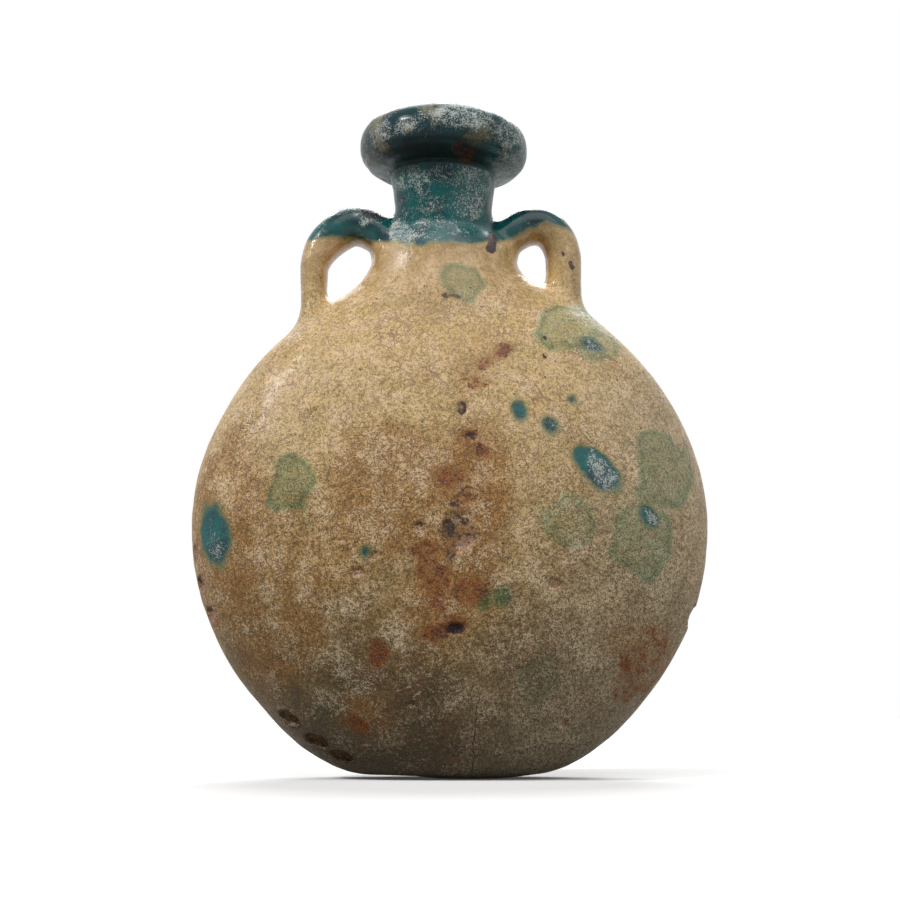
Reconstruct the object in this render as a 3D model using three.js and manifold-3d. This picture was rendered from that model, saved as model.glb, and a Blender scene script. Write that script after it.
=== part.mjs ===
// A moon flask of glazed clay. Two dished halves are luted rim to rim into a round, lens-shaped body.
// A thrown neck stands on the shoulder with a thick rolled lip, and a clay loop springs from each
// side of the neck down to the shoulder. The whole flask is one fired, rigid thing.
// Millimetres, +Z up through the neck, front face towards -Y, origin on the table under the body.

import * as THREE from 'three';
import { mergeVertices } from 'three/addons/utils/BufferGeometryUtils.js';
import Module from 'manifold-3d';

const wasm = await Module();
wasm.setup();

// Sizes of the body
const bodyDiameter = 191;
const bodyDepth = 88;
const bodyBluntness = 2.2; // power of the superellipse across the body, where 2 is an ellipse
const wallThickness = 6.5;
const footFlatDepth = 3.5; // how much of the round outline the flat foot takes away

// Sizes of the slip that joins the two halves
const seamWidth = 1.5;
const seamBeadWidth = 8; // the bead squeezed out inside, along the depth of the flask
const seamBeadDepth = 3;

// Sizes of the neck
const neckOffset = -2.5; // the neck stands a little to the left of the middle
const boreDiameter = 21;
const neckWaistDiameter = 37.8;
const neckTopDiameter = 43.5;
const neckWaistRise = 18.5; // heights called a rise are measured from the top of the body
const neckRise = 38.2;
const neckFlare = 3; // power of the curve from the waist out to the top
const collarDiameter = 32; // the thinner part of the neck that the lip is rolled around

// Sizes of the slip fillet at the foot of the neck
const filletRise = 16;
const filletReach = 13;
const filletEdge = 1;
const filletHollow = 0.125; // share of reach and rise at the control point of its concave curve

// Sizes of the lip
const lipDiameter = 64.4;
const lipHeight = 21;
const lipBluntness = 2.2;
const lipTilt = 2.1; // degrees, the right side hangs lower

// Sizes of the loops
const strapDepth = 18;
const loopRootRise = 12;
const loopRootSlope = 0.33;
const loopRootEase = 0.4; // how far the curve's handles reach, as shares of its width and height
const loopRootLift = 0.55;
const loopRoundness = 0.55;
const rootPadDepth = 21;
const rootPadSpread = 2.2; // how far the clay spreads past the strap where it is pressed on
const leftLoop = { side: -1, opening: 24.6, thickness: 11.1, archRise: 24.8, apexShare: 0.52 };
const rightLoop = { side: 1, opening: 21.5, thickness: 12.6, archRise: 24.7, apexShare: 0.56 };

// Clearances and bites
const mergeDistance = 1e-4; // corners closer than this are one corner
const seatGap = 0.3; // between curved faces that seat on each other
const seatBite = 9; // how far a blank runs into its neighbour before the neighbour is cut away

// How finely the round shapes are divided
const bodySegments = 52;
const profileSteps = 10;
const neckSegments = 32;
const neckSteps = 5;
const filletSteps = 5;
const lipSteps = 16;
const strapSteps = 22;
const strapHalfSides = 6;
const padSides = 14;
const padRings = 9;

// Sizes that follow from the ones above
const bodyRadius = bodyDiameter / 2;
const bodyHalfDepth = bodyDepth / 2;
const bodyCentreHeight = bodyRadius - footFlatDepth;
const seamHalf = seamWidth / 2;
const boreRadius = boreDiameter / 2;
const neckWaistRadius = neckWaistDiameter / 2;
const neckTopRadius = neckTopDiameter / 2;
const collarRadius = collarDiameter / 2;
const collarRise = neckRise + lipHeight / 2;
const lipHalfWidth = (lipDiameter / 2 - boreRadius) / 2;

// Turns a closed geometry into a solid that can be joined and cut.
function solid(geometry) {
  geometry.deleteAttribute('normal');
  geometry.deleteAttribute('uv');
  const merged = mergeVertices(geometry, mergeDistance);
  const corners = merged.getIndex().array;
  const faces = [];
  for (let i = 0; i < corners.length; i += 3) {
    const [a, b, c] = corners.slice(i, i + 3);
    if (a !== b && b !== c && c !== a) {
      faces.push(a, b, c);
    }
  }
  const vertProperties = merged.getAttribute('position').array;
  return new wasm.Manifold(
    new wasm.Mesh({ numProp: 3, vertProperties, triVerts: Uint32Array.from(faces) })
  );
}

// Names a solid and gives it its material.
function piece(name, shape, material) {
  const mesh = shape.getMesh();
  const geometry = new THREE.BufferGeometry();
  geometry.setAttribute('position', new THREE.BufferAttribute(mesh.vertProperties, 3));
  geometry.setIndex(new THREE.BufferAttribute(mesh.triVerts, 1));
  geometry.computeVertexNormals();
  const made = new THREE.Mesh(geometry, material);
  made.name = name;
  return made;
}

function finish(colour, roughness) {
  return new THREE.MeshStandardMaterial({ color: colour, roughness, metalness: 0 });
}

// A lathe whose axis is +Z, from [radius, height] pairs.
function turned(pairs, segments) {
  const points = pairs.map(([radius, height]) => new THREE.Vector2(radius, height));
  return new THREE.LatheGeometry(points, segments).rotateX(Math.PI / 2);
}

// The body's frame has its origin at the middle of the body.

// One side of the body from its pole to the seam, as [radius, depth] pairs.
function sideOutline(radius, halfDepth) {
  const pairs = [];
  for (let i = 0; i <= profileSteps; i += 1) {
    const angle = (1 - i / profileSteps) * (Math.PI / 2);
    const across = radius * Math.max(0, Math.cos(angle)) ** (2 / bodyBluntness);
    const deep = halfDepth * Math.sin(angle) ** (2 / bodyBluntness);
    pairs.push([i === 0 ? 0 : across, Math.max(seamHalf, deep)]);
  }
  return pairs;
}

// The body without its hollow, larger all round by a clearance.
function bodyBlank(clearance) {
  const side = sideOutline(bodyRadius + clearance, bodyHalfDepth + clearance);
  const front = side.map(([across, deep]) => new THREE.Vector2(across, -deep));
  const back = side.map(([across, deep]) => new THREE.Vector2(across, deep)).reverse();
  return new THREE.LatheGeometry([...front, ...back], bodySegments);
}

// How high the body's surface stands above its middle.
function bodySurface(x, y) {
  const share = 1 - Math.abs(y / bodyHalfDepth) ** bodyBluntness;
  const across = bodyRadius * share ** (1 / bodyBluntness);
  return Math.sqrt(across ** 2 - x ** 2);
}

// Everything under the foot, ready to be cut away.
function underFoot() {
  const block = new THREE.BoxGeometry(bodyDiameter, bodyDepth, bodyRadius);
  return solid(block.translate(0, 0, -bodyCentreHeight - bodyRadius / 2));
}

// The hole under the neck.
function neckHole() {
  const bottom = bodyRadius - 2 * wallThickness - 2 * seatBite;
  const top = bodyRadius + seatBite;
  const hole = turned([[0, bottom], [boreRadius, bottom], [boreRadius, top], [0, top]], neckSegments);
  return solid(hole.translate(neckOffset, 0, 0));
}

// A thrown dish, one half of the body. Its side is -1 at the front and 1 at the back.
function dish(side) {
  const outside = sideOutline(bodyRadius, bodyHalfDepth);
  const inside = sideOutline(bodyRadius - wallThickness, bodyHalfDepth - wallThickness);
  const points = [...outside, ...inside.reverse()].map(
    ([across, deep]) => new THREE.Vector2(across, side * deep)
  );
  if (side > 0) {
    points.reverse();
  }
  const shell = solid(new THREE.LatheGeometry(points, bodySegments));
  return shell.subtract(neckHole()).subtract(underFoot());
}

// The ring of slip between the two rims, with the bead that was squeezed out inside.
function seam() {
  const inner = bodyRadius - wallThickness;
  const beadHalf = seamBeadWidth / 2;
  const shoulder = beadHalf - seatGap;
  const points = [
    [bodyRadius, -seamHalf],
    [bodyRadius, seamHalf],
    [inner - 2 * seatGap, seamHalf],
    [inner - 2 * seatGap, shoulder],
    [inner - seamBeadDepth / 2, beadHalf],
    [inner - seamBeadDepth, shoulder / 2],
    [inner - seamBeadDepth, -shoulder / 2],
    [inner - seamBeadDepth / 2, -beadHalf],
    [inner - 2 * seatGap, -shoulder],
    [inner - 2 * seatGap, -seamHalf],
    [bodyRadius, -seamHalf],
  ].map(([across, deep]) => new THREE.Vector2(across, deep));
  const ring = solid(new THREE.LatheGeometry(points, bodySegments));
  return ring.subtract(neckHole()).subtract(underFoot());
}

// The neck's frame has its origin on the neck's axis at the height of the top of the body.

// The outside of the neck from below its seat to its top, as [radius, height] pairs.
function neckOutline(clearance) {
  const pairs = [[neckWaistRadius + clearance, -seatBite]];
  for (let i = 0; i <= neckSteps; i += 1) {
    const share = i / neckSteps;
    const radius = neckWaistRadius + (neckTopRadius - neckWaistRadius) * share ** neckFlare;
    pairs.push([radius + clearance, neckWaistRise + (neckRise - neckWaistRise) * share]);
  }
  pairs[pairs.length - 1][1] += clearance;
  pairs.push([collarRadius + clearance, neckRise + clearance]);
  pairs.push([collarRadius + clearance, collarRise + clearance]);
  return pairs;
}

function neckBlank(clearance) {
  return turned([[0, -seatBite], ...neckOutline(clearance), [0, collarRise + clearance]], neckSegments);
}

function neck() {
  const inside = [[boreRadius, collarRise], [boreRadius, -seatBite]];
  const outside = neckOutline(0);
  const tube = solid(turned([...outside, ...inside, outside[0]], neckSegments));
  const seat = bodyBlank(seatGap).translate(-neckOffset, 0, -bodyRadius);
  return tube.subtract(solid(seat));
}

// The fillet's top side as [radius, height over the body's surface] pairs, from its edge inwards.
function filletOutline(clearance) {
  const inner = neckWaistRadius + seatGap;
  const edge = new THREE.Vector2(inner + filletReach, filletEdge);
  const corner = new THREE.Vector2(inner + filletReach * filletHollow, filletRise * filletHollow);
  const top = new THREE.Vector2(inner + filletEdge, filletRise);
  const curve = new THREE.QuadraticBezierCurve(edge, corner, top);
  return curve.getPoints(filletSteps).map(({ x, y }) => [x + clearance, y + clearance]);
}

// Lets a turned shape settle on the body, so that its heights count from the body's surface.
function settle(geometry) {
  const place = geometry.getAttribute('position');
  for (let i = 0; i < place.count; i += 1) {
    const x = place.getX(i);
    const y = place.getY(i);
    place.setZ(i, place.getZ(i) + bodySurface(x + neckOffset, y) - bodyRadius);
  }
  return geometry;
}

// The ring of slip that was smoothed into the corner between the neck and the shoulder.
function fillet() {
  const inner = neckWaistRadius + seatGap;
  const top = filletOutline(0);
  const underside = [];
  for (let i = 0; i <= filletSteps; i += 1) {
    underside.push([inner + filletReach * (i / filletSteps), seatGap]);
  }
  const ring = [...underside, ...top, [inner, filletRise]];
  return solid(settle(turned([...ring, ring[0]], neckSegments)));
}

// The fillet with its hole filled, larger by a clearance.
function filletBlank(clearance) {
  const top = filletOutline(clearance);
  const bottom = [top[0][0], -seatBite];
  const middle = [0, filletRise + clearance];
  return settle(turned([[0, -seatBite], bottom, ...top, middle], neckSegments));
}

// The rolled lip, fitted around the collar of the neck and tilted a little.
function lip() {
  const middleRadius = boreRadius + lipHalfWidth;
  const pairs = [];
  for (let i = 0; i <= lipSteps; i += 1) {
    const angle = (i / lipSteps) * 2 * Math.PI;
    const wide = Math.sign(Math.cos(angle)) * Math.abs(Math.cos(angle)) ** (2 / lipBluntness);
    const high = Math.sign(Math.sin(angle)) * Math.abs(Math.sin(angle)) ** (2 / lipBluntness);
    pairs.push([middleRadius + lipHalfWidth * wide, (lipHeight / 2) * high]);
  }
  pairs[lipSteps] = pairs[0];
  const roll = turned(pairs, neckSegments);
  roll.rotateY(THREE.MathUtils.degToRad(lipTilt));
  roll.translate(0, 0, collarRise);
  return solid(roll).subtract(solid(neckBlank(seatGap)));
}

// The loops are made in the body's frame.

// Key points of a loop's middle line: its root in the neck, its apex and its outer limb.
function loopPoints(loop) {
  const outward = (distance) => neckOffset + loop.side * distance;
  const limbReach = neckWaistRadius + loop.opening + loop.thickness / 2;
  const apexReach = neckWaistRadius + (limbReach - neckWaistRadius) * loop.apexShare;
  const limbX = outward(limbReach);
  const rootZ = bodyRadius + loopRootRise;
  const apexZ = bodyRadius + loop.archRise - loop.thickness / 2;
  const landingZ = bodySurface(limbX, 0);
  return {
    start: new THREE.Vector3(outward(neckWaistRadius - seatBite), 0, rootZ - seatBite * loopRootSlope),
    root: new THREE.Vector3(outward(neckWaistRadius), 0, rootZ),
    apex: new THREE.Vector3(outward(apexReach), 0, apexZ),
    limb: new THREE.Vector3(limbX, 0, (apexZ + landingZ) / 2),
    landing: new THREE.Vector3(limbX, 0, landingZ),
    end: new THREE.Vector3(limbX, 0, landingZ - seatBite),
  };
}

// The middle line itself: up out of the neck, over the arch and straight down to the shoulder.
function loopPath(loop) {
  const { start, root, apex, limb, end } = loopPoints(loop);
  const towards = (from, to, share) => from + (to - from) * share;
  const riseCurve = new THREE.CubicBezierCurve3(
    root,
    new THREE.Vector3(towards(root.x, apex.x, loopRootEase), 0, towards(root.z, apex.z, loopRootLift)),
    new THREE.Vector3(towards(apex.x, root.x, loopRootEase), 0, apex.z),
    apex
  );
  const fallCurve = new THREE.CubicBezierCurve3(
    apex,
    new THREE.Vector3(towards(apex.x, limb.x, loopRoundness), 0, apex.z),
    new THREE.Vector3(limb.x, 0, towards(limb.z, apex.z, loopRoundness)),
    limb
  );
  const path = new THREE.CurvePath();
  path.add(new THREE.LineCurve3(start, root));
  path.add(riseCurve);
  path.add(fallCurve);
  path.add(new THREE.LineCurve3(limb, end));
  return path;
}

// A pad of clay pressed out where a strap meets its neighbour.
function rootPad(centre, thickness) {
  const across = thickness / 2 + rootPadSpread;
  const pad = new THREE.SphereGeometry(1, padSides, padRings);
  pad.scale(across, rootPadDepth / 2, across);
  return solid(pad.translate(centre.x, centre.y, centre.z));
}

function handle(loop) {
  const section = new THREE.Shape();
  section.absellipse(0, 0, strapDepth / 2, loop.thickness / 2, 0, 2 * Math.PI);
  const strap = new THREE.ExtrudeGeometry(section, {
    steps: strapSteps,
    curveSegments: strapHalfSides,
    extrudePath: loopPath(loop),
  });
  const { root, landing } = loopPoints(loop);
  const neckThere = neckBlank(seatGap).translate(neckOffset, 0, bodyRadius);
  const filletThere = filletBlank(seatGap).translate(neckOffset, 0, bodyRadius);
  return solid(strap)
    .add(rootPad(root, loop.thickness))
    .add(rootPad(landing, loop.thickness))
    .subtract(solid(neckThere))
    .subtract(solid(filletThere))
    .subtract(solid(bodyBlank(seatGap)));
}

// Glazes and slip
const buffGlaze = finish(0xbfa57e, 0.4);
const turquoiseGlaze = finish(0x2f6f6c, 0.35);
const darkGlaze = finish(0x3b5557, 0.35);
const slip = finish(0xb39a76, 0.5);

// The neck group stands on top of the body group, and the body group on its flat foot.
const neckGroup = new THREE.Group();
neckGroup.position.set(neckOffset, 0, bodyRadius);
neckGroup.add(piece('neck', neck(), turquoiseGlaze));
neckGroup.add(piece('neck_slip', fillet(), slip));
neckGroup.add(piece('rim_ring', lip(), darkGlaze));

const bodyGroup = new THREE.Group();
bodyGroup.position.set(0, 0, bodyCentreHeight);
bodyGroup.add(piece('front_shell', dish(-1), buffGlaze));
bodyGroup.add(piece('back_shell', dish(1), buffGlaze));
bodyGroup.add(piece('seam_slip', seam(), slip));
bodyGroup.add(piece('left_handle', handle(leftLoop), buffGlaze));
bodyGroup.add(piece('right_handle', handle(rightLoop), buffGlaze));
bodyGroup.add(neckGroup);

const flask = new THREE.Group();
flask.add(bodyGroup);

export default flask;
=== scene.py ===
# The glazed flask, dressed: one skin of fired and glazed clay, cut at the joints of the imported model
# into closed pieces, on a plain pale floor under four soft distant lamps.
# Shapes are worked out in millimetres and made in metres. +Z is up and the front looks along -Y.

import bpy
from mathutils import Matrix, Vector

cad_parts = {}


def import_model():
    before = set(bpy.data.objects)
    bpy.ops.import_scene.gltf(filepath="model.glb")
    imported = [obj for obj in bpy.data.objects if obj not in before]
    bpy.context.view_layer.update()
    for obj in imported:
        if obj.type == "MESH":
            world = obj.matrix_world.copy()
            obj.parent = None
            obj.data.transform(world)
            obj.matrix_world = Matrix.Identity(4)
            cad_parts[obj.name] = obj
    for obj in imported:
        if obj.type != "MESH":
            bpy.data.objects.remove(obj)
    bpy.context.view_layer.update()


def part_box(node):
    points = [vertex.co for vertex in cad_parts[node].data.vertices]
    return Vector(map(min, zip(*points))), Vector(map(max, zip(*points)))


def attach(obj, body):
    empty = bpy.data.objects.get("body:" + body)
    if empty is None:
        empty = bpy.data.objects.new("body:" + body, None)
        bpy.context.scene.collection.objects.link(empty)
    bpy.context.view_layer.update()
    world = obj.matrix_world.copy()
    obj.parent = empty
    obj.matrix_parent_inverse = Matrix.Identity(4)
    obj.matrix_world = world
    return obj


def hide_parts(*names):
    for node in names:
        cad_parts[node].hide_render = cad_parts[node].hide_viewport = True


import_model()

import math

import bmesh
import bpy
import numpy as np
from mathutils import Matrix, Vector
from mathutils.kdtree import KDTree

MM = 0.001


def box_of(node):
    """A node's lowest and highest corner, in millimetres."""
    low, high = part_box(node)
    return np.array(low) / MM, np.array(high) / MM


# Sizes that the frame gives
shell_low, shell_high = box_of("front_shell")
lip_low, lip_high = box_of("rim_ring")
BODY_RADIUS = (shell_high[0] - shell_low[0]) / 2
BODY_HALF_DEPTH = -shell_low[1]
LIP_RADIUS = (lip_high[1] - lip_low[1]) / 2
LIP_MIDDLE = (lip_high[2] + lip_low[2]) / 2

# Sizes of the body. A pair of heights or reaches says where a change begins and ends.
BODY_BLUNTNESS = 2.2
SHOULDER_TAPER = 1.3
SHOULDER_RISE = (100, 140)
SHOULDER_FALL = (160, 182)
FOOT_SPREAD = 2.4
FOOT_RISE = (3, 34)
FOOT_FLAT = 3.5
FOOT_X = 7
FOOT_LENGTH_TO_DEPTH = 1.6
FOOT_EDGE = (9, 26)
FOOT_CURL = 1.2
WALL = 6.5
BODY_MIDDLE = BODY_RADIUS - FOOT_FLAT
BODY_TOP = BODY_MIDDLE + BODY_RADIUS
SEAM_HALF = 0.75
SEAM_BEAD_DEPTH = 3
SEAM_BEAD_WIDTH = 4

# Sizes of the neck and the lip
NECK_X = -2.5
BORE_RADIUS = 10.5
BORE_START = BODY_MIDDLE + 50
BORE_CLEARANCE = 0.4
WAIST_RADIUS = 18.4
WAIST_HEIGHT = BODY_TOP + 18.5
FLARE_TOP = BODY_TOP + 17
FLARE_BOTTOM = BODY_TOP + 5
FLARE_REACH = 8.6
FLARE_SLOPE = 0.22
FLARE_DROP = 20
FLARE_FRONT = 0.45
NECK_TOP_RADIUS = 20.7
NECK_TOP_HEIGHT = BODY_TOP + 38.2
LIP_HALF_WIDTH = (LIP_RADIUS - BORE_RADIUS) / 2
LIP_HALF_HEIGHT = 10.5
LIP_BELOW = 0.94
LIP_BLUNTNESS = 2.2
LIP_TILT = math.radians(2.1)

# Sizes of the loops
LOOP_START = 18.9
STRAP_HALF_DEPTH = 9
STRAP_BLUNTNESS = 2.2
SWELL_REACH = 16
ROOT_HEIGHT = BODY_TOP + 9.2
ROOT_SLOPE = 0.33
ROOT_EASE = 0.4
ROOT_LIFT = 0.55
BITE = 9
LOOPS = {
    "left": {
        "side": -1, "opening": 24.6, "thickness": 11.1, "arch": 23.8,
        "apex": 0.5, "swell": 0.42, "roundness": 0.34,
    },
    "right": {
        "side": 1, "opening": 19.6, "thickness": 14, "arch": 25.6,
        "apex": 0.62, "swell": 0, "roundness": 0.55,
    },
}

# How widely the wet clay was smoothed where two forms meet
SHOULDER_BLEND = 11
LOOP_BLEND = 6
LIP_BLEND = 0.8
FOOT_BLEND = 3
BORE_BLEND = 8

# The joints where the skin is cut into pieces
LOOP_MARGIN = 3.5
SEAT_BITE = 1
SLIP_REACH = 31.5
SLIP_INNER = 18
SLIP_TOP = BODY_TOP + 15.5
UPPER_BOTTOM = BODY_MIDDLE + 53
UPPER_TOP = BODY_TOP + 60
FAR = 200
CREASE_DROP = -11.2

# How finely the skin, the hollow and the cutters are sampled
SKIN_CELL = 0.8
HOLLOW_CELL = 2.5
CUTTER_CELL = 1.5
BLOCK = 4
MARGIN = 3
TRIES = 8
SHIFT = 0.23
WELD = 0.002 * MM

# The slots of a piece's mesh
SKIN, HOLLOW, CUT = range(3)
HOLDERS = [bpy.data.materials.new(name) for name in ("skin_holder", "hollow_holder", "cut_holder")]


# Where the turquoise ends: across, height above the top of the body
TEAL_EDGE = [
    (-60, 10.5), (-45, 12.3), (-34, 12.6), (-24, 10.5), (-20, 9), (-16, 6.2), (-11, 5.8), (-6, 6.6),
    (3, 6.6), (11, 7.4), (16, 8.4), (21, 10.8), (29, 15.5), (38, 17.6), (50, 14.5), (58, 11),
]

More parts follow.
